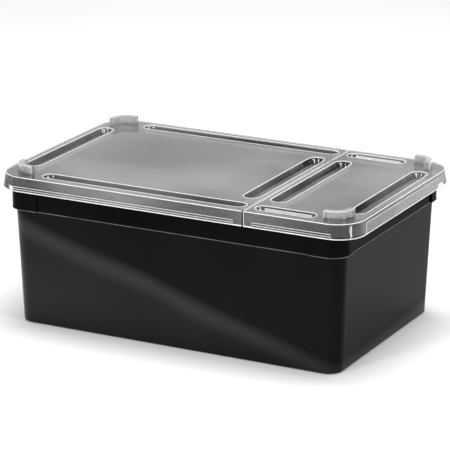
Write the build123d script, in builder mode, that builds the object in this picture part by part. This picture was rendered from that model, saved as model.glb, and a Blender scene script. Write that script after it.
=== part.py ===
from build123d import *
import os

# Lidded stacking tub: a black tapered tub and a clear lid that folds along a film hinge.
# Millimetres, +Z up, +X towards the short flap, origin at the middle of the tub's underside.

os.makedirs("parts", exist_ok=True)

# Lid outline
LID_LENGTH = 370.0
LID_WIDTH = 230.0
LID_CORNER = 28.3
LID_TOP = 145.0
SKIRT_BOTTOM = 131.0
PLATE = 1.4
LID_EDGE_ROUND = 1.6

# Grip bands low on the long sides, and a taller pad on each end
BAND_PROUD = 0.8
BAND_TOP = 136.0
BAND_REACH = 163.0
BAND_CORNER = 1.0
HINGE_BAND_GAP = 18.0
PAD_TOP = 142.0
PAD_WIDTH = 172.0
GRIP_ROUND = 0.5
FLARE_TOP = 143.0
FLARE_CORNER = 25.0

# Tub body: tapered walls between the floor and the collar
FLOOR_LENGTH = 332.0
FLOOR_WIDTH = 209.2
FLOOR_CORNER = 14.0
TAPER_GROWTH = 8.6
CORNER_GROWTH = 1.5
COLLAR_BOTTOM = 112.0
WALL = 2.0
FLOOR_EDGE_ROUND = 1.8
INNER_FLOOR_ROUND = 3.0

# Collar: an outward step under the rim, proud at the corners
COLLAR_LENGTH = 347.0
COLLAR_WIDTH = 224.2
COLLAR_CORNER = 17.0
MIDDLE_RECESS = 1.5
LONG_RECESS = 280.0
END_RECESS = 176.0
RECESS_MARGIN = 2.0
COLLAR_ROUND = 1.2

# Rim ledge and the lip that stands up inside the lid's skirt
LEDGE_BOTTOM = 134.4
LEDGE_TOP = 136.4
LIP_THICK = 1.7
LIP_TOP = 143.2
LIP_ROUND = 0.6
SKIRT_GAP = 0.35

# Recessed channels near the edges of each panel
CHANNEL_DEPTH = 6.0
CHANNEL_SHELL = 1.2
CHANNEL_DRAFT = 16.0
MOUTH_ROUND = 0.9
CROSS_CHANNEL_LENGTH = 150.0
CROSS_CHANNEL_WIDTH = 16.0
END_CHANNEL_X = 168.0
SIDE_CHANNEL_Y = 97.5
SIDE_CHANNEL_WIDTH = 14.0
MAIN_SIDE_CHANNEL = (-140.0, 70.8)
FLAP_SIDE_CHANNEL = (81.3, 140.6)

# Film hinge between the panels
HINGE_X = 76.0
HINGE_CHANNEL_OFFSET = 14.0
WEB_WIDTH = 2.4
WEB_THICK = 0.4
WEB_LENGTH = 224.4
PANEL_TO_WEB = 0.2
SKIRT_SPLIT = 1.4

# Corner lugs: low hollow walls that a second tub can rest on
LUG_LENGTH = 344.0
LUG_WIDTH = 206.0
LUG_CORNER = 17.5
LUG_THICK = 6.0
LUG_HEIGHT = 8.2
LUG_SHELL = 1.3
LUG_ROUND = 0.8
LUG_INNER_X = 150.5
LUG_INNER_Y = 83.0

# How far either side of a level the faces lying on it are looked for
PICK_MARGIN = 0.1

UPPER_LENGTH = LID_LENGTH - 2 * BAND_PROUD
UPPER_WIDTH = LID_WIDTH - 2 * BAND_PROUD
UPPER_CORNER = LID_CORNER - BAND_PROUD
RIM_INSET = PLATE + SKIRT_GAP
PLATE_BOTTOM = LID_TOP - PLATE
MAIN_BAND = (-BAND_REACH, HINGE_X - HINGE_BAND_GAP / 2)
FLAP_BAND = (HINGE_X + HINGE_BAND_GAP / 2, BAND_REACH)
LUG_TOP = LID_TOP + LUG_HEIGHT


def outline(length, width, corner, inset=0.0):
    """A centred rounded rectangle, moved inwards by inset."""
    RectangleRounded(length - 2 * inset, width - 2 * inset, corner - inset)


def tub_section(height, inset):
    """The tapered body's plan at one height, moved inwards by inset."""
    share = height / COLLAR_BOTTOM
    length = FLOOR_LENGTH + share * TAPER_GROWTH
    width = FLOOR_WIDTH + share * TAPER_GROWTH
    outline(length, width, FLOOR_CORNER + share * CORNER_GROWTH, inset)


def collar_section(inset):
    """The collar's plan: a rounded rectangle with shallow recesses along the middle of each side."""
    outline(COLLAR_LENGTH, COLLAR_WIDTH, COLLAR_CORNER, inset)
    bite = 2 * (MIDDLE_RECESS + inset)
    long_run = LONG_RECESS + 2 * RECESS_MARGIN * (inset > 0)
    end_run = END_RECESS + 2 * RECESS_MARGIN * (inset > 0)
    with Locations((0, COLLAR_WIDTH / 2), (0, -COLLAR_WIDTH / 2)):
        Rectangle(long_run, bite, mode=Mode.SUBTRACT)
    with Locations((COLLAR_LENGTH / 2, 0), (-COLLAR_LENGTH / 2, 0)):
        Rectangle(bite, end_run, mode=Mode.SUBTRACT)


def lug_section(inset):
    """Four corner pieces of a rounded ring, with every wall moved inwards by inset."""
    outline(LUG_LENGTH, LUG_WIDTH, LUG_CORNER, inset)
    inner = LUG_THICK - inset
    RectangleRounded(LUG_LENGTH - 2 * inner, LUG_WIDTH - 2 * inner, LUG_CORNER - inner, mode=Mode.SUBTRACT)
    Rectangle(2 * (LUG_INNER_X + inset), LUG_WIDTH, mode=Mode.SUBTRACT)
    Rectangle(LUG_LENGTH, 2 * (LUG_INNER_Y + inset), mode=Mode.SUBTRACT)


def channel_plan(cross_x, side_from, side_to, grow):
    """Plans of a panel's channels: two across the lid and one along each side."""
    with Locations(*[(x, 0) for x in cross_x]):
        SlotOverall(CROSS_CHANNEL_LENGTH + 2 * grow, CROSS_CHANNEL_WIDTH + 2 * grow, rotation=90)
    middle = (side_from + side_to) / 2
    with Locations((middle, SIDE_CHANNEL_Y), (middle, -SIDE_CHANNEL_Y)):
        SlotOverall(side_to - side_from + 2 * grow, SIDE_CHANNEL_WIDTH + 2 * grow)


# Tub: body, collar, rim ledge and lip in one moulding
with BuildPart() as tub:
    with BuildSketch(Plane.XY):
        tub_section(0.0, 0.0)
    with BuildSketch(Plane.XY.offset(COLLAR_BOTTOM)):
        tub_section(COLLAR_BOTTOM, 0.0)
    loft(ruled=True)
    fillet(tub.faces().sort_by(Axis.Z)[0].edges(), radius=FLOOR_EDGE_ROUND)

    with BuildSketch(Plane.XY.offset(COLLAR_BOTTOM)):
        collar_section(0.0)
    extrude(amount=LEDGE_TOP - COLLAR_BOTTOM)
    collar_face = tub.faces().filter_by(Plane.XY).filter_by_position(
        Axis.Z, COLLAR_BOTTOM - PICK_MARGIN, COLLAR_BOTTOM + PICK_MARGIN)
    fillet(collar_face[0].outer_wire().edges(), radius=COLLAR_ROUND)

    with BuildSketch(Plane.XY.offset(LEDGE_BOTTOM)):
        outline(UPPER_LENGTH, UPPER_WIDTH, UPPER_CORNER, RIM_INSET)
    extrude(amount=LIP_TOP - LEDGE_BOTTOM)
    with BuildSketch(Plane.XY.offset(LEDGE_TOP)):
        outline(UPPER_LENGTH, UPPER_WIDTH, UPPER_CORNER, RIM_INSET + LIP_THICK)
    extrude(amount=LIP_TOP - LEDGE_TOP, mode=Mode.SUBTRACT)

    with BuildSketch(Plane.XY.offset(COLLAR_BOTTOM + WALL)):
        collar_section(WALL)
    extrude(amount=LIP_TOP - COLLAR_BOTTOM - WALL, mode=Mode.SUBTRACT)
    with BuildSketch(Plane.XY.offset(WALL)):
        tub_section(WALL, WALL)
    with BuildSketch(Plane.XY.offset(COLLAR_BOTTOM + WALL)):
        tub_section(COLLAR_BOTTOM + WALL, WALL)
    loft(ruled=True, mode=Mode.SUBTRACT)
    inner_floor = tub.faces().filter_by(Plane.XY).filter_by_position(
        Axis.Z, WALL - PICK_MARGIN, WALL + PICK_MARGIN)
    fillet(inner_floor[0].edges(), radius=INNER_FLOOR_ROUND)
    lip_face = tub.faces().filter_by(Plane.XY).sort_by(Axis.Z)[-1]
    fillet(lip_face.edges(), radius=LIP_ROUND)
tub.part.label = "tub"
export_step(tub.part, "parts/tub.step")

# Skirt flares: the skirt's four corners lean outwards towards the bottom
with BuildPart() as skirt_flares:
    with BuildSketch(Plane.XY.offset(SKIRT_BOTTOM)):
        outline(LID_LENGTH, LID_WIDTH, FLARE_CORNER)
    with BuildSketch(Plane.XY.offset(FLARE_TOP)):
        outline(UPPER_LENGTH, UPPER_WIDTH, UPPER_CORNER)
    loft(ruled=True)
    with BuildSketch(Plane.XY.offset(SKIRT_BOTTOM)):
        Rectangle(LID_LENGTH, LID_WIDTH)
        Rectangle(2 * BAND_REACH, LID_WIDTH, mode=Mode.SUBTRACT)
        Rectangle(LID_LENGTH, PAD_WIDTH, mode=Mode.SUBTRACT)
    extrude(amount=FLARE_TOP - SKIRT_BOTTOM, mode=Mode.INTERSECT)

# Lid blank: plate, skirt, grips and hollow corner lugs, before it's divided into panels
with BuildPart() as lid_blank:
    with BuildSketch(Plane.XY.offset(SKIRT_BOTTOM)):
        outline(UPPER_LENGTH, UPPER_WIDTH, UPPER_CORNER)
    extrude(amount=LID_TOP - SKIRT_BOTTOM)
    fillet(lid_blank.faces().sort_by(Axis.Z)[-1].edges(), radius=LID_EDGE_ROUND)

    for band_from, band_to in (MAIN_BAND, FLAP_BAND):
        with BuildSketch(Plane.XY.offset(SKIRT_BOTTOM)):
            with Locations(((band_from + band_to) / 2, 0)):
                RectangleRounded(band_to - band_from, LID_WIDTH, BAND_CORNER)
        extrude(amount=BAND_TOP - SKIRT_BOTTOM)
    with BuildSketch(Plane.XY.offset(SKIRT_BOTTOM)):
        RectangleRounded(LID_LENGTH, PAD_WIDTH, BAND_CORNER)
    extrude(amount=PAD_TOP - SKIRT_BOTTOM)
    grip_tops = lid_blank.faces().filter_by(Plane.XY).filter_by_position(Axis.Z, BAND_TOP, PAD_TOP)
    grip_edges = grip_tops.edges().filter_by(
        lambda edge: abs(edge.center().Y) > (LID_WIDTH - BAND_PROUD) / 2
        or abs(edge.center().X) > (LID_LENGTH - BAND_PROUD) / 2)
    fillet(grip_edges, radius=GRIP_ROUND)
    add(skirt_flares.part)

    with BuildSketch(Plane.XY.offset(LID_TOP)):
        lug_section(0.0)
    extrude(amount=LUG_HEIGHT)
    fillet(lid_blank.faces().filter_by(Plane.XY).group_by(Axis.Z)[-1].edges(), radius=LUG_ROUND)
    with BuildSketch(Plane.XY.offset(PLATE_BOTTOM)):
        lug_section(LUG_SHELL)
    extrude(amount=LUG_TOP - LUG_SHELL - PLATE_BOTTOM, mode=Mode.SUBTRACT)
    with BuildSketch(Plane.XY.offset(SKIRT_BOTTOM)):
        outline(UPPER_LENGTH, UPPER_WIDTH, UPPER_CORNER, PLATE)
    extrude(amount=PLATE_BOTTOM - SKIRT_BOTTOM, mode=Mode.SUBTRACT)

# Main panel: the lid blank up to the film hinge, with its channels
with BuildPart() as main_panel:
    add(lid_blank.part)
    with BuildSketch(Plane.XY.offset(SKIRT_BOTTOM)):
        with Locations((HINGE_X - SKIRT_SPLIT / 2 - LID_LENGTH / 2, 0)):
            Rectangle(LID_LENGTH, LID_WIDTH + LID_CORNER)
    extrude(amount=LUG_TOP - SKIRT_BOTTOM, mode=Mode.INTERSECT)
    main_cross = (-END_CHANNEL_X, HINGE_X - HINGE_CHANNEL_OFFSET)
    with BuildSketch(Plane.XY.offset(LID_TOP)):
        channel_plan(main_cross, *MAIN_SIDE_CHANNEL, CHANNEL_SHELL)
    extrude(amount=-CHANNEL_DEPTH - CHANNEL_SHELL, taper=CHANNEL_DRAFT)
    with BuildSketch(Plane.XY.offset(LID_TOP)):
        channel_plan(main_cross, *MAIN_SIDE_CHANNEL, 0.0)
    extrude(amount=-CHANNEL_DEPTH, taper=CHANNEL_DRAFT, mode=Mode.SUBTRACT)
    top_face = main_panel.faces().filter_by(Plane.XY).filter_by_position(Axis.Z, LID_TOP, LID_TOP)
    fillet(top_face[0].inner_wires().edges(), radius=MOUTH_ROUND)
    with BuildSketch(Plane.XY.offset(PLATE_BOTTOM)):
        with Locations((HINGE_X, 0)):
            Rectangle(WEB_WIDTH + 2 * PANEL_TO_WEB, WEB_LENGTH + 2 * PANEL_TO_WEB)
    extrude(amount=PLATE, mode=Mode.SUBTRACT)
main_panel.part.label = "lid_main_panel"
export_step(main_panel.part, "parts/lid_main_panel.step")

# Flap panel: the short end of the lid blank, with its channels
with BuildPart() as flap_panel:
    add(lid_blank.part)
    with BuildSketch(Plane.XY.offset(SKIRT_BOTTOM)):
        with Locations((HINGE_X + SKIRT_SPLIT / 2 + LID_LENGTH / 2, 0)):
            Rectangle(LID_LENGTH, LID_WIDTH + LID_CORNER)
    extrude(amount=LUG_TOP - SKIRT_BOTTOM, mode=Mode.INTERSECT)
    flap_cross = (END_CHANNEL_X, HINGE_X + HINGE_CHANNEL_OFFSET)
    with BuildSketch(Plane.XY.offset(LID_TOP)):
        channel_plan(flap_cross, *FLAP_SIDE_CHANNEL, CHANNEL_SHELL)
    extrude(amount=-CHANNEL_DEPTH - CHANNEL_SHELL, taper=CHANNEL_DRAFT)
    with BuildSketch(Plane.XY.offset(LID_TOP)):
        channel_plan(flap_cross, *FLAP_SIDE_CHANNEL, 0.0)
    extrude(amount=-CHANNEL_DEPTH, taper=CHANNEL_DRAFT, mode=Mode.SUBTRACT)
    top_face = flap_panel.faces().filter_by(Plane.XY).filter_by_position(Axis.Z, LID_TOP, LID_TOP)
    fillet(top_face[0].inner_wires().edges(), radius=MOUTH_ROUND)
    with BuildSketch(Plane.XY.offset(PLATE_BOTTOM)):
        with Locations((HINGE_X, 0)):
            Rectangle(WEB_WIDTH + 2 * PANEL_TO_WEB, WEB_LENGTH + 2 * PANEL_TO_WEB)
    extrude(amount=PLATE, mode=Mode.SUBTRACT)
flap_panel.part.label = "lid_flap_panel"
export_step(flap_panel.part, "parts/lid_flap_panel.step")

# Film hinge: the thin web that joins the two panels
with BuildPart() as film_hinge:
    with BuildSketch(Plane.XY.offset(LID_TOP - WEB_THICK)):
        with Locations((HINGE_X, 0)):
            Rectangle(WEB_WIDTH, WEB_LENGTH)
    extrude(amount=WEB_THICK)
film_hinge.part.label = "film_hinge"
export_step(film_hinge.part, "parts/film_hinge.step")
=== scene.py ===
import math

import bpy
from mathutils import Matrix, Vector


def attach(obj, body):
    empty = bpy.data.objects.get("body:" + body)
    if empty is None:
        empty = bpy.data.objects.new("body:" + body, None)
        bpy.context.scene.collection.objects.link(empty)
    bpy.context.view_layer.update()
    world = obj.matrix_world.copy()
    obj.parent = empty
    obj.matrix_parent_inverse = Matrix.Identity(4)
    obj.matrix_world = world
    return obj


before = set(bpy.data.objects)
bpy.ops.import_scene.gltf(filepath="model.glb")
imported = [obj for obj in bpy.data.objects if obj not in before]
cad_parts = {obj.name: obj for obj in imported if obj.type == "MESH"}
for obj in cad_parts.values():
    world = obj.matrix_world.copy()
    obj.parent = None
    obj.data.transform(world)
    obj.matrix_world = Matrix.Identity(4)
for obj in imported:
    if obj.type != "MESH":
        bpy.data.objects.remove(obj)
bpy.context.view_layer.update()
scene = bpy.context.scene


# ---------- node helpers ----------

def new_material(name):
    """A node material with its Principled shader, and the tree to add nodes to."""
    mat = bpy.data.materials.new(name)
    mat.use_nodes = True
    tree = mat.node_tree
    tree.nodes.clear()
    out = tree.nodes.new("ShaderNodeOutputMaterial")
    shader = tree.nodes.new("ShaderNodeBsdfPrincipled")
    tree.links.new(shader.outputs["BSDF"], out.inputs["Surface"])
    return mat, tree, shader


def coords(tree, scale=(1.0, 1.0, 1.0), rotation=(0.0, 0.0, 0.0)):
    """Object coordinates in metres, scaled and turned."""
    tex = tree.nodes.new("ShaderNodeTexCoord")
    mapping = tree.nodes.new("ShaderNodeMapping")
    mapping.inputs["Scale"].default_value = scale
    mapping.inputs["Rotation"].default_value = rotation
    tree.links.new(tex.outputs["Object"], mapping.inputs["Vector"])
    return mapping.outputs["Vector"]


def noise(tree, vector, scale, detail=3.0, roughness=0.5):
    """Fractal noise at a scale per metre."""
    node = tree.nodes.new("ShaderNodeTexNoise")
    node.inputs["Scale"].default_value = scale
    node.inputs["Detail"].default_value = detail
    node.inputs["Roughness"].default_value = roughness
    tree.links.new(vector, node.inputs["Vector"])
    return node.outputs["Fac"]


def remap(tree, value, from_low, from_high, to_low, to_high):
    """A value moved linearly from one range to another, and held at its ends."""
    node = tree.nodes.new("ShaderNodeMapRange")
    node.inputs["From Min"].default_value = from_low
    node.inputs["From Max"].default_value = from_high
    node.inputs["To Min"].default_value = to_low
    node.inputs["To Max"].default_value = to_high
    tree.links.new(value, node.inputs["Value"])
    return node.outputs["Result"]


def colour_mix(tree, factor, first, second):
    """A blend of two fixed colours."""
    node = tree.nodes.new("ShaderNodeMix")
    node.data_type = "RGBA"
    node.inputs["A"].default_value = (*first, 1.0)
    node.inputs["B"].default_value = (*second, 1.0)
    tree.links.new(factor, node.inputs["Factor"])
    return node.outputs["Result"]


def math_node(tree, operation, first, second=0.0):
    """One sum on sockets or plain numbers."""
    node = tree.nodes.new("ShaderNodeMath")
    node.operation = operation
    for socket, value in zip(node.inputs, (first, second)):
        if isinstance(value, (int, float)):
            socket.default_value = value
        else:
            tree.links.new(value, socket)
    return node.outputs["Value"]


def bump(tree, height, distance, strength=1.0, normal=None):
    """A bumped normal, laid over another one if it's given."""
    node = tree.nodes.new("ShaderNodeBump")
    node.inputs["Distance"].default_value = distance
    node.inputs["Strength"].default_value = strength
    tree.links.new(height, node.inputs["Height"])
    if normal is not None:
        tree.links.new(normal, node.inputs["Normal"])
    return node.outputs["Normal"]


# ---------- the object's own sizes, in metres ----------

LID_HALF_X, LID_HALF_Y = 0.185, 0.115
PLATE_LEVEL = 0.145
HINGE_X = 0.076
COLLAR_HALF_X, COLLAR_HALF_Y, COLLAR_CORNER = 0.1735, 0.1121, 0.017
COLLAR_LEVEL, COLLAR_RECESS = 0.112, 0.0015
LONG_RECESS_HALF, END_RECESS_HALF = 0.140, 0.088
LUG_HALF_X, LUG_HALF_Y, LUG_CORNER = 0.172, 0.103, 0.0175
LUG_INNER_X, LUG_INNER_Y, LUG_THICK, LUG_TOP = 0.1505, 0.083, 0.006, 0.1532
CROSS_LENGTH, CROSS_WIDTH = 0.150, 0.016
SIDE_WIDTH, SIDE_Y = 0.014, 0.0975
DRAFT = math.tan(math.radians(16.0))

# For each panel: the X of its two cross channels, and the X range of its side channels
CHANNELS = {
    "main_panel": ((-0.168, 0.062), (-0.140, 0.0708)),
    "flap_panel": ((0.090, 0.168), (0.0813, 0.1406)),
}

# How far a bead's centre line lies inside the surface that it edges
BEAD_SINK = 0.0001


# ---------- materials ----------

# Painted reflection: the specular level is set by a slanting height, Z plus a share of X: pairs of that
# height and the level
BAND_SLOPE = 0.29
BAND_LOW, BAND_HIGH = -0.06, 0.12
PAINTED_REFLECTION_STOPS = ((-0.050, 0.29), (0.034, 0.19), (0.049, 0.36), (0.064, 0.07), (0.110, 0.06))
BAND_WANDER = 0.003
# Painted shade: shares of the specular level kept on the collar, under the lid, and on the tub's ends
COLLAR_SHADE_SHARE, COLLAR_BLEND = 0.4, 0.0004
END_SHADE_SHARE, END_FROM, END_TO = 0.52, 0.157, 0.165

LUG_MILK, LUG_MILK_FROM, LUG_MILK_TO = 0.20, 0.1452, 0.1467
CLEAR_PATCH = (-0.090, 0.030, 0.145)
PATCH_FROM, PATCH_TO, PATCH_SHARE = 0.015, 0.11, 0.15
CLOUD_MOST, CLOUD_LEAST = 3.0, 0.1


def painted_reflection_level(tree, position, wander):
    """Specular level: a slanting band of painted reflection on the long sides, weaker above it, and painted
    shade on collar and ends.
    """
    split = tree.nodes.new("ShaderNodeSeparateXYZ")
    tree.links.new(position, split.inputs["Vector"])
    slope = math_node(tree, "MULTIPLY", split.outputs["X"], BAND_SLOPE)
    slanted = math_node(tree, "ADD", split.outputs["Z"], slope)
    drifted = math_node(tree, "ADD", slanted, remap(tree, wander, 0.3, 0.7, -BAND_WANDER, BAND_WANDER))
    ramp = tree.nodes.new("ShaderNodeValToRGB")
    tree.links.new(remap(tree, drifted, BAND_LOW, BAND_HIGH, 0.0, 1.0), ramp.inputs["Fac"])
    ramp.color_ramp.interpolation = "EASE"
    while len(ramp.color_ramp.elements) < len(PAINTED_REFLECTION_STOPS):
        ramp.color_ramp.elements.new(0.5)
    for element, (height, level) in zip(ramp.color_ramp.elements, PAINTED_REFLECTION_STOPS):
        element.position = (height - BAND_LOW) / (BAND_HIGH - BAND_LOW)
        element.color = (level, level, level, 1.0)
    # Painted shade on the collar and on the ends, by lowering the specular level
    collar_from, collar_to = COLLAR_LEVEL - COLLAR_BLEND, COLLAR_LEVEL + COLLAR_BLEND
    collar_painted_shade = remap(tree, split.outputs["Z"], collar_from, collar_to, 1.0, COLLAR_SHADE_SHARE)
    from_middle = math_node(tree, "ABSOLUTE", split.outputs["X"])
    end_painted_shade = remap(tree, from_middle, END_FROM, END_TO, 1.0, END_SHADE_SHARE)
    painted_shade_factor = math_node(tree, "MULTIPLY", collar_painted_shade, end_painted_shade)
    return math_node(tree, "MULTIPLY", ramp.outputs["Color"], painted_shade_factor)


def make_tub_plastic():
    """Black polypropylene: fine moulded grain, a slanting band of painted reflection, slow waves and rub
    marks.
    """
    mat, tree, shader = new_material("tub_black_polypropylene")
    plain = coords(tree)
    waves = noise(tree, plain, 8.0, detail=2.0)
    grain = noise(tree, plain, 1400.0, detail=2.0)
    rubs = noise(tree, coords(tree, (30.0, 30.0, 4.0), (0.3, 0.5, 0.2)), 12.0, detail=4.0, roughness=0.7)
    tone = remap(tree, waves, 0.35, 0.65, 0.0, 1.0)
    colour = colour_mix(tree, tone, (0.0018, 0.0018, 0.0020), (0.0034, 0.0034, 0.0037))
    tree.links.new(colour, shader.inputs["Base Color"])
    # The specular level carries painted light: a reflection band, and shade on the collar and the ends
    tree.links.new(painted_reflection_level(tree, plain, waves), shader.inputs["Specular IOR Level"])
    rub_share = remap(tree, rubs, 0.55, 0.75, 0.0, 0.05)
    base_roughness = remap(tree, waves, 0.3, 0.7, 0.17, 0.23)
    tree.links.new(math_node(tree, "ADD", base_roughness, rub_share), shader.inputs["Roughness"])
    slow = bump(tree, waves, 0.0006, 0.2)
    tree.links.new(bump(tree, grain, 0.00002, 0.5, slow), shader.inputs["Normal"])
    shader.inputs["IOR"].default_value = 1.49
    return mat


def make_lid_plastic(name, transmission, tint):
    """Clear polypropylene: glossy, slightly milky, with flow clouds and fine handling scratches.

    One patch of the long panel is clearer than the rest. The corner lugs stand above the plate and are
    milkier, so the transmission falls with height there.
    """
    mat, tree, shader = new_material(name)
    plain = coords(tree)
    clouds = noise(tree, coords(tree, (1.0, 1.7, 1.0)), 5.0, detail=2.0)
    ripple = noise(tree, plain, 26.0, detail=2.0)
    scratch = noise(tree, coords(tree, (6.0, 160.0, 6.0), (0.0, 0.0, 0.5)), 9.0, detail=3.0, roughness=0.65)
    tone = remap(tree, clouds, 0.35, 0.65, 0.0, 1.0)
    darker = tuple(0.9 * channel for channel in tint)
    tree.links.new(colour_mix(tree, tone, darker, tint), shader.inputs["Base Color"])
    scratch_share = remap(tree, scratch, 0.6, 0.75, 0.0, 0.04)
    base_roughness = remap(tree, clouds, 0.3, 0.7, 0.03, 0.08)
    tree.links.new(math_node(tree, "ADD", base_roughness, scratch_share), shader.inputs["Roughness"])
    tree.links.new(bump(tree, ripple, 0.0003, 0.15), shader.inputs["Normal"])
    shader.inputs["IOR"].default_value = 1.49
    split = tree.nodes.new("ShaderNodeSeparateXYZ")
    tree.links.new(plain, split.inputs["Vector"])
    lug_share = remap(tree, split.outputs["Z"], LUG_MILK_FROM, LUG_MILK_TO, 0.0, LUG_MILK)
    plain_milk = 1.0 - transmission
    cloud_share = remap(tree, clouds, 0.38, 0.62, CLOUD_MOST * plain_milk, CLOUD_LEAST * plain_milk)
    away = tree.nodes.new("ShaderNodeVectorMath")
    away.operation = "DISTANCE"
    tree.links.new(plain, away.inputs[0])
    away.inputs[1].default_value = CLEAR_PATCH
    patch = remap(tree, away.outputs["Value"], PATCH_FROM, PATCH_TO, PATCH_SHARE, 1.0)
    plate_milk = math_node(tree, "MULTIPLY", cloud_share, patch)
    milk = math_node(tree, "ADD", lug_share, plate_milk)
    tree.links.new(math_node(tree, "SUBTRACT", 1.0, milk), shader.inputs["Transmission Weight"])
    return mat


def make_painted_highlight_plastic():
    """Painted highlights: the same plastic, whiter, softer and more scattering, laid as beads along edges
    and lines that catch light.
    """
    mat, tree, shader = new_material("painted_highlight_polypropylene")
    mottle = noise(tree, coords(tree), 220.0, detail=3.0)
    tone = remap(tree, mottle, 0.35, 0.65, 0.0, 1.0)
    colour = colour_mix(tree, tone, (0.86, 0.87, 0.87), (0.96, 0.96, 0.96))
    tree.links.new(colour, shader.inputs["Base Color"])
    tree.links.new(remap(tree, mottle, 0.3, 0.7, 0.18, 0.30), shader.inputs["Roughness"])
    shader.inputs["IOR"].default_value = 1.49
    shader.inputs["Transmission Weight"].default_value = 0.12
    return mat


def make_flash_highlight_plastic():
    """The tub's plastic along the thin flash line: much lighter than the tub, partly a painted highlight of
    the line and partly greyed where trimmed and rubbed.
    """
    mat, tree, shader = new_material("flash_highlight_polypropylene")
    wear = noise(tree, coords(tree), 60.0, detail=4.0, roughness=0.7)
    tone = remap(tree, wear, 0.35, 0.65, 0.0, 1.0)
    colour = colour_mix(tree, tone, (0.03, 0.03, 0.03), (0.11, 0.11, 0.11))
    tree.links.new(colour, shader.inputs["Base Color"])
    tree.links.new(remap(tree, wear, 0.3, 0.7, 0.3, 0.5), shader.inputs["Roughness"])
    return mat


def make_floor_paint():
    """Pale matte studio floor with a very faint mottle."""
    mat, tree, shader = new_material("studio_floor")
    mottle = noise(tree, coords(tree), 3.0, detail=4.0)
    tone = remap(tree, mottle, 0.3, 0.7, 0.0, 1.0)
    colour = colour_mix(tree, tone, (0.93, 0.93, 0.93), (0.95, 0.95, 0.95))
    tree.links.new(colour, shader.inputs["Base Color"])
    shader.inputs["Roughness"].default_value = 0.9
    shader.inputs["Specular IOR Level"].default_value = 0.1
    return mat


def dress(node, material):
    """Gives a CAD node its one material."""
    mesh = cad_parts[node].data
    mesh.materials.clear()
    mesh.materials.append(material)


dress("tub", make_tub_plastic())
lid_plastic = make_lid_plastic("lid_clear_polypropylene", 0.94, (0.96, 0.965, 0.965))
dress("lid_main_panel", lid_plastic)
dress("lid_flap_panel", lid_plastic)
dress("film_hinge", make_lid_plastic("hinge_clear_polypropylene", 0.88, (0.95, 0.95, 0.95)))
highlight_plastic = make_painted_highlight_plastic()


# ---------- paths and beads ----------

ARC_STEPS = 12


def corner_arc(half_x, half_y, radius, sign_x, sign_y, height, start, end):
    """Points round one corner of a rounded rectangle, with straight runs out to x = start and y = end."""
    points = [(sign_x * start, sign_y * half_y, height)]
    for step in range(ARC_STEPS + 1):
        angle = math.radians(90.0 * step / ARC_STEPS)
        points.append((sign_x * (half_x - radius + radius * math.sin(angle)),
                       sign_y * (half_y - radius + radius * math.cos(angle)), height))
    points.append((sign_x * half_x, sign_y * end, height))
    return points


def obround(centre_x, centre_y, length, width, height, along_y):
    """Points round a slot with rounded ends, back to the first."""
    straight, radius = (length - width) / 2, width / 2
    points = []
    for end in (1, -1):
        for step in range(ARC_STEPS + 1):
            angle = math.radians(180.0 * step / ARC_STEPS - 90.0)
            run = end * (straight + radius * math.cos(angle))
            across = end * radius * math.sin(angle)
            offset_x, offset_y = (-across, run) if along_y else (run, across)
            points.append((centre_x + offset_x, centre_y + offset_y, height))
    points.append(points[0])
    return points


def bead(name, paths, radius, material, body):
    """A fine round bead of plastic along one or more paths."""
    curve = bpy.data.curves.new(name, "CURVE")
    curve.dimensions = "3D"
    curve.bevel_depth = radius
    curve.bevel_resolution = 3
    curve.use_fill_caps = True
    for points in paths:
        spline = curve.splines.new("POLY")
        spline.points.add(len(points) - 1)
        for target, point in zip(spline.points, points):
            target.co = (*point, 1.0)
    shape = bpy.data.objects.new(name, curve)
    scene.collection.objects.link(shape)
    bpy.context.view_layer.update()
    mesh = bpy.data.meshes.new_from_object(shape.evaluated_get(bpy.context.evaluated_depsgraph_get()))
    bpy.data.objects.remove(shape)
    made = bpy.data.objects.new(name, mesh)
    scene.collection.objects.link(made)
    mesh.materials.clear()
    mesh.materials.append(material)
    for face in mesh.polygons:
        face.use_smooth = True
    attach(made, body)


# ---------- the tub's parting line ----------

FLASH_RADIUS = 0.0004
FLASH_HEIGHT = 0.11245
FLASH_CLEARANCE = 0.0002


def parting_line():
    """The flash left where the two halves of the tub's mould meet, round the collar's lower edge."""
    middle_x = COLLAR_HALF_X - COLLAR_RECESS - BEAD_SINK
    middle_y = COLLAR_HALF_Y - COLLAR_RECESS - BEAD_SINK
    long_run = LONG_RECESS_HALF - FLASH_RADIUS
    end_run = END_RECESS_HALF - FLASH_RADIUS
    paths = []
    for side in (-1, 1):
        paths.append([(-long_run, side * middle_y, FLASH_HEIGHT), (long_run, side * middle_y, FLASH_HEIGHT)])
        paths.append([(side * middle_x, -end_run, FLASH_HEIGHT), (side * middle_x, end_run, FLASH_HEIGHT)])
        for end in (-1, 1):
            paths.append(corner_arc(COLLAR_HALF_X - BEAD_SINK, COLLAR_HALF_Y - BEAD_SINK,
                                    COLLAR_CORNER - BEAD_SINK, side, end, FLASH_HEIGHT,
                                    LONG_RECESS_HALF + FLASH_CLEARANCE, END_RECESS_HALF + FLASH_CLEARANCE))
    return paths


# The flash bead's light grey is partly a painted highlight along the collar's lower edge
bead("collar_parting_line", parting_line(), FLASH_RADIUS, make_flash_highlight_plastic(), "tub")


# ---------- painted highlights on the lid: beads of whitened plastic ---

MOUTH_HEIGHT, MOUTH_OFFSET, MOUTH_BEAD = 0.14472, 0.0005, 0.0005
STREAK_LOW, STREAK_HIGH, STREAK_TURN, STREAK_BEAD = 0.1396, 0.1436, math.radians(38.0), 0.0007
STRIP_HEIGHTS, STRIP_FROM, STRIP_TO, STRIP_BEAD = (0.1406, 0.1415, 0.1424), 0.087, 0.134, 0.0006
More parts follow.
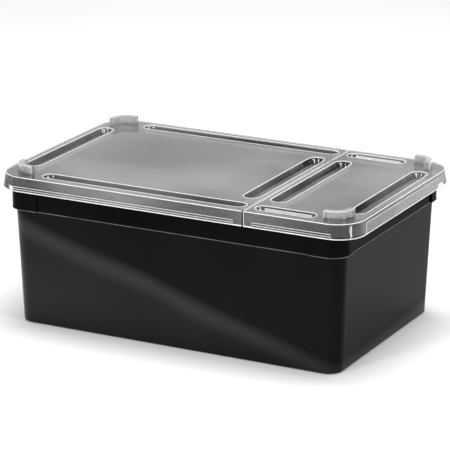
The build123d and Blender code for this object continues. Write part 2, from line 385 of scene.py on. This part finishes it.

# Painted highlight lines round the skirt: name, distance inside the lid's outline, corner radius, height and
# bead radius
SKIRT_LINES = (
    ("skirt_lower_edge_highlight", 0.0004, 0.0250, 0.1313, 0.0006),
    ("plate_edge_highlight", 0.0014, 0.0270, 0.1445, 0.0004),
)
HINGE_HALF = 0.0009
BAND_RANGES = {"main_panel": (-0.163, 0.067), "flap_panel": (0.085, 0.163)}
BAND_HEIGHTS = (0.1334, 0.1357)
PAD_HALF, PAD_LOW, PAD_HIGH = 0.086, 0.1318, 0.1417
GRIP_BEAD = 0.00025
LUG_FOOT, LUG_EDGE_DROP, LUG_BEAD = PLATE_LEVEL + 0.0001, 0.00045, 0.00025
LUG_BEAD_CLEARANCE = 0.0002
SPLIT_X, SPLIT_INSET, SPLIT_LOW, SPLIT_HIGH, SPLIT_BEAD = 0.0770, 0.0009, 0.1318, 0.1444, 0.00028

# Painted highlight lines along the hinge: name, X and bead radius
CREASES = (("hinge_crease_main", 0.07505, 0.00018), ("hinge_crease_flap", 0.07695, 0.00032))
CREASE_HALF, CREASE_HEIGHT = 0.1118, 0.14495


def channel_mouths(cross_xs, side_from, side_to):
    """Painted highlights round the rims of a panel's four channels."""
    mouths = []
    for cross_x in cross_xs:
        mouths.append(obround(cross_x, 0.0, CROSS_LENGTH + 2 * MOUTH_OFFSET,
                              CROSS_WIDTH + 2 * MOUTH_OFFSET, MOUTH_HEIGHT, True))
    middle, length = (side_from + side_to) / 2, side_to - side_from
    for side in (-1, 1):
        mouths.append(obround(middle, side * SIDE_Y, length + 2 * MOUTH_OFFSET,
                              SIDE_WIDTH + 2 * MOUTH_OFFSET, MOUTH_HEIGHT, False))
    return mouths


def end_streaks(centre_x, centre_y, length, width, along_y):
    """Two short painted highlight streaks down the wall at each rounded end of a channel."""
    streaks = []
    for end in (1, -1):
        for turn_to in (-STREAK_TURN, STREAK_TURN):
            streak = []
            for height in (STREAK_LOW, STREAK_HIGH):
                radius = width / 2 - DRAFT * (PLATE_LEVEL - height)
                run = end * ((length - width) / 2 + radius * math.cos(turn_to))
                across = radius * math.sin(turn_to)
                offset_x, offset_y = (across, run) if along_y else (run, across)
                streak.append((centre_x + offset_x, centre_y + offset_y, height))
            streaks.append(streak)
    return streaks


def channel_streaks(cross_xs, side_from, side_to):
    """Painted highlight streaks at the ends of a panel's four channels."""
    streaks = []
    for cross_x in cross_xs:
        streaks += end_streaks(cross_x, 0.0, CROSS_LENGTH, CROSS_WIDTH, True)
    middle, length = (side_from + side_to) / 2, side_to - side_from
    for side in (-1, 1):
        streaks += end_streaks(middle, side * SIDE_Y, length, SIDE_WIDTH, False)
    return streaks


def flap_strips():
    """Painted highlight strips along the foot of the +Y walls of the flap's side channels."""
    strips = []
    for side in (-1, 1):
        for height in STRIP_HEIGHTS:
            wall = side * SIDE_Y + SIDE_WIDTH / 2 - DRAFT * (PLATE_LEVEL - height)
            strips.append([(STRIP_FROM, wall, height), (STRIP_TO, wall, height)])
    return strips


def skirt_line(end, inset, radius, height):
    """One line round a panel's three outer sides, from the hinge to the hinge."""
    half_x, half_y = LID_HALF_X - inset, LID_HALF_Y - inset
    hinge_side = end * (HINGE_X + end * HINGE_HALF)
    front = corner_arc(half_x, half_y, radius, end, -1, height, hinge_side, 0.0)
    back_half = corner_arc(half_x, half_y, radius, end, 1, height, hinge_side, 0.0)
    return front + back_half[-2::-1]


def grip_lines(end, band_from, band_to):
    """Painted highlight lines on the edges of a panel's grip bands, and on the outline of the pad on its
    end.
    """
    long_y, end_x = LID_HALF_Y - BEAD_SINK, end * (LID_HALF_X - BEAD_SINK)
    lines = []
    for side in (-1, 1):
        for height in BAND_HEIGHTS:
            lines.append([(band_from, side * long_y, height), (band_to, side * long_y, height)])
    lines.append([(end_x, -PAD_HALF, PAD_LOW), (end_x, -PAD_HALF, PAD_HIGH),
                  (end_x, PAD_HALF, PAD_HIGH), (end_x, PAD_HALF, PAD_LOW)])
    return lines


def lug_edges(end):
    """Painted highlight outlines of a panel's two lugs: top and foot of the outer wall, inner foot, and the
    legs' ends.
    """
    outer_x, outer_y = LUG_HALF_X - BEAD_SINK, LUG_HALF_Y - BEAD_SINK
    start_x, start_y = LUG_INNER_X + LUG_BEAD_CLEARANCE, LUG_INNER_Y + LUG_BEAD_CLEARANCE
    high_level = LUG_TOP - LUG_EDGE_DROP
    depth = LUG_THICK - LUG_BEAD_CLEARANCE
    outlines = []
    for side in (-1, 1):
        foot = corner_arc(outer_x, outer_y, LUG_CORNER, end, side, LUG_FOOT, start_x, start_y)
        high = corner_arc(outer_x, outer_y, LUG_CORNER, end, side, high_level, start_x, start_y)
        inner = corner_arc(outer_x - depth, outer_y - depth, LUG_CORNER - depth, end, side, LUG_FOOT,
                           start_x, start_y)
        outlines += [foot, high, inner, [foot[0], high[0]], [foot[-1], high[-1]]]
    return outlines


def paint_highlight(name, paths, radius, body):
    """A painted highlight: a bead of whitened plastic on one of the lid's panels."""
    bead(name, paths, radius, highlight_plastic, body)


# Painted highlights along each panel's channels
for panel, (cross_xs, side_range) in CHANNELS.items():
    paint_highlight(panel + "_channel_rim_highlights", channel_mouths(cross_xs, *side_range), MOUTH_BEAD, panel)
    paint_highlight(panel + "_channel_end_highlights", channel_streaks(cross_xs, *side_range), STREAK_BEAD, panel)
paint_highlight("flap_panel_channel_highlight_strips", flap_strips(), STRIP_BEAD, "flap_panel")

# Painted highlights along each panel's skirt, grip bands and lugs
for panel, end in (("main_panel", -1), ("flap_panel", 1)):
    for line, inset, radius, height, thickness in SKIRT_LINES:
        paint_highlight(panel + "_" + line, [skirt_line(end, inset, radius, height)], thickness, panel)
    paint_highlight(panel + "_grip_highlight_lines", grip_lines(end, *BAND_RANGES[panel]), GRIP_BEAD, panel)
    paint_highlight(panel + "_lug_edge_highlights", lug_edges(end), LUG_BEAD, panel)

# The split in the skirt below the hinge, with a painted highlight along the flap's edge
for side, name in ((-1, "front"), (1, "back")):
    split_y = side * (LID_HALF_Y - SPLIT_INSET)
    split = [(SPLIT_X, split_y, SPLIT_LOW), (SPLIT_X, split_y, SPLIT_HIGH)]
    paint_highlight("skirt_split_highlight_" + name, [split], SPLIT_BEAD, "flap_panel")

# The film hinge's folded crease: a raised line at each side of the web, whitened as a painted highlight
for name, crease_x, thickness in CREASES:
    crease = [(crease_x, -CREASE_HALF, CREASE_HEIGHT), (crease_x, CREASE_HALF, CREASE_HEIGHT)]
    bead(name, [crease], thickness, highlight_plastic, "lid_carrier")


# ---------- floor, camera and light ----------

FLOOR_SIZE = 14.0
FLOOR_GAP = 0.0003
bpy.ops.mesh.primitive_plane_add(size=FLOOR_SIZE, location=(0.0, 0.0, -FLOOR_GAP))
floor = bpy.context.object
floor.name = "studio_floor"
floor.data.materials.append(make_floor_paint())

CAMERA_TARGET = Vector((-0.00993, -0.00083, 0.08782))
CAMERA_AZIMUTH = math.radians(27.5)
CAMERA_ELEVATION = math.radians(17.29)
CAMERA_DISTANCE = 2.674
back = Vector((math.sin(CAMERA_AZIMUTH) * math.cos(CAMERA_ELEVATION),
               -math.cos(CAMERA_AZIMUTH) * math.cos(CAMERA_ELEVATION),
               math.sin(CAMERA_ELEVATION)))
right = Vector((math.cos(CAMERA_AZIMUTH), math.sin(CAMERA_AZIMUTH), 0.0))
upward = back.cross(right)
camera_data = bpy.data.cameras.new("camera")
camera = bpy.data.objects.new("camera", camera_data)
scene.collection.objects.link(camera)
turn = Matrix((right, upward, back)).transposed().to_4x4()
camera.matrix_world = Matrix.Translation(CAMERA_TARGET + back * CAMERA_DISTANCE) @ turn
camera_data.sensor_width = 36.0
camera_data.lens = 226.1
camera_data.shift_x = 0.0206
camera_data.shift_y = 0.0013
camera_data.clip_end = 50.0
scene.camera = camera


def softbox(name, location, target, size, watts):
    """A rectangular area light aimed at a point."""
    data = bpy.data.lights.new(name, "AREA")
    data.shape = "RECTANGLE"
    data.size, data.size_y = size
    data.energy = watts
    light = bpy.data.objects.new(name, data)
    light.location = location
    aim = Vector(target) - Vector(location)
    light.rotation_euler = aim.to_track_quat("-Z", "Y").to_euler()
    scene.collection.objects.link(light)
    return light


def strip_light(name, azimuth, distance, width, height, watts):
    """A tall strip softbox standing on the floor; azimuth is from the front, towards +X."""
    turn_to = math.radians(azimuth)
    spot = (distance * math.sin(turn_to), -distance * math.cos(turn_to), height / 2)
    softbox(name, spot, (0.0, 0.0, height / 2), (width, height), watts)


# The overhead light is kept out of reflections, so that the lid stays clear when seen from above
overhead = softbox("overhead", (0.0, 0.15, 1.5), (0.0, 0.0, 0.1), (0.9, 0.6), 14.0)
overhead.visible_glossy = False
strip_light("right_strip", 73.0, 1.9, 0.30, 1.2, 16.0)
strip_light("front_strip", -14.0, 2.1, 0.30, 1.2, 18.0)

world = bpy.data.worlds.new("studio_surround")
scene.world = world
world.use_nodes = True
background = world.node_tree.nodes["Background"]
background.inputs["Color"].default_value = (1.0, 1.0, 1.0, 1.0)
background.inputs["Strength"].default_value = 0.75

# No caustics and a clamp on bounced light keep stray bright specks off the clear lid
scene.cycles.caustics_reflective = False
scene.cycles.caustics_refractive = False
scene.cycles.sample_clamp_indirect = 6.0
scene.view_settings.view_transform = "Standard"
scene.view_settings.look = "None"
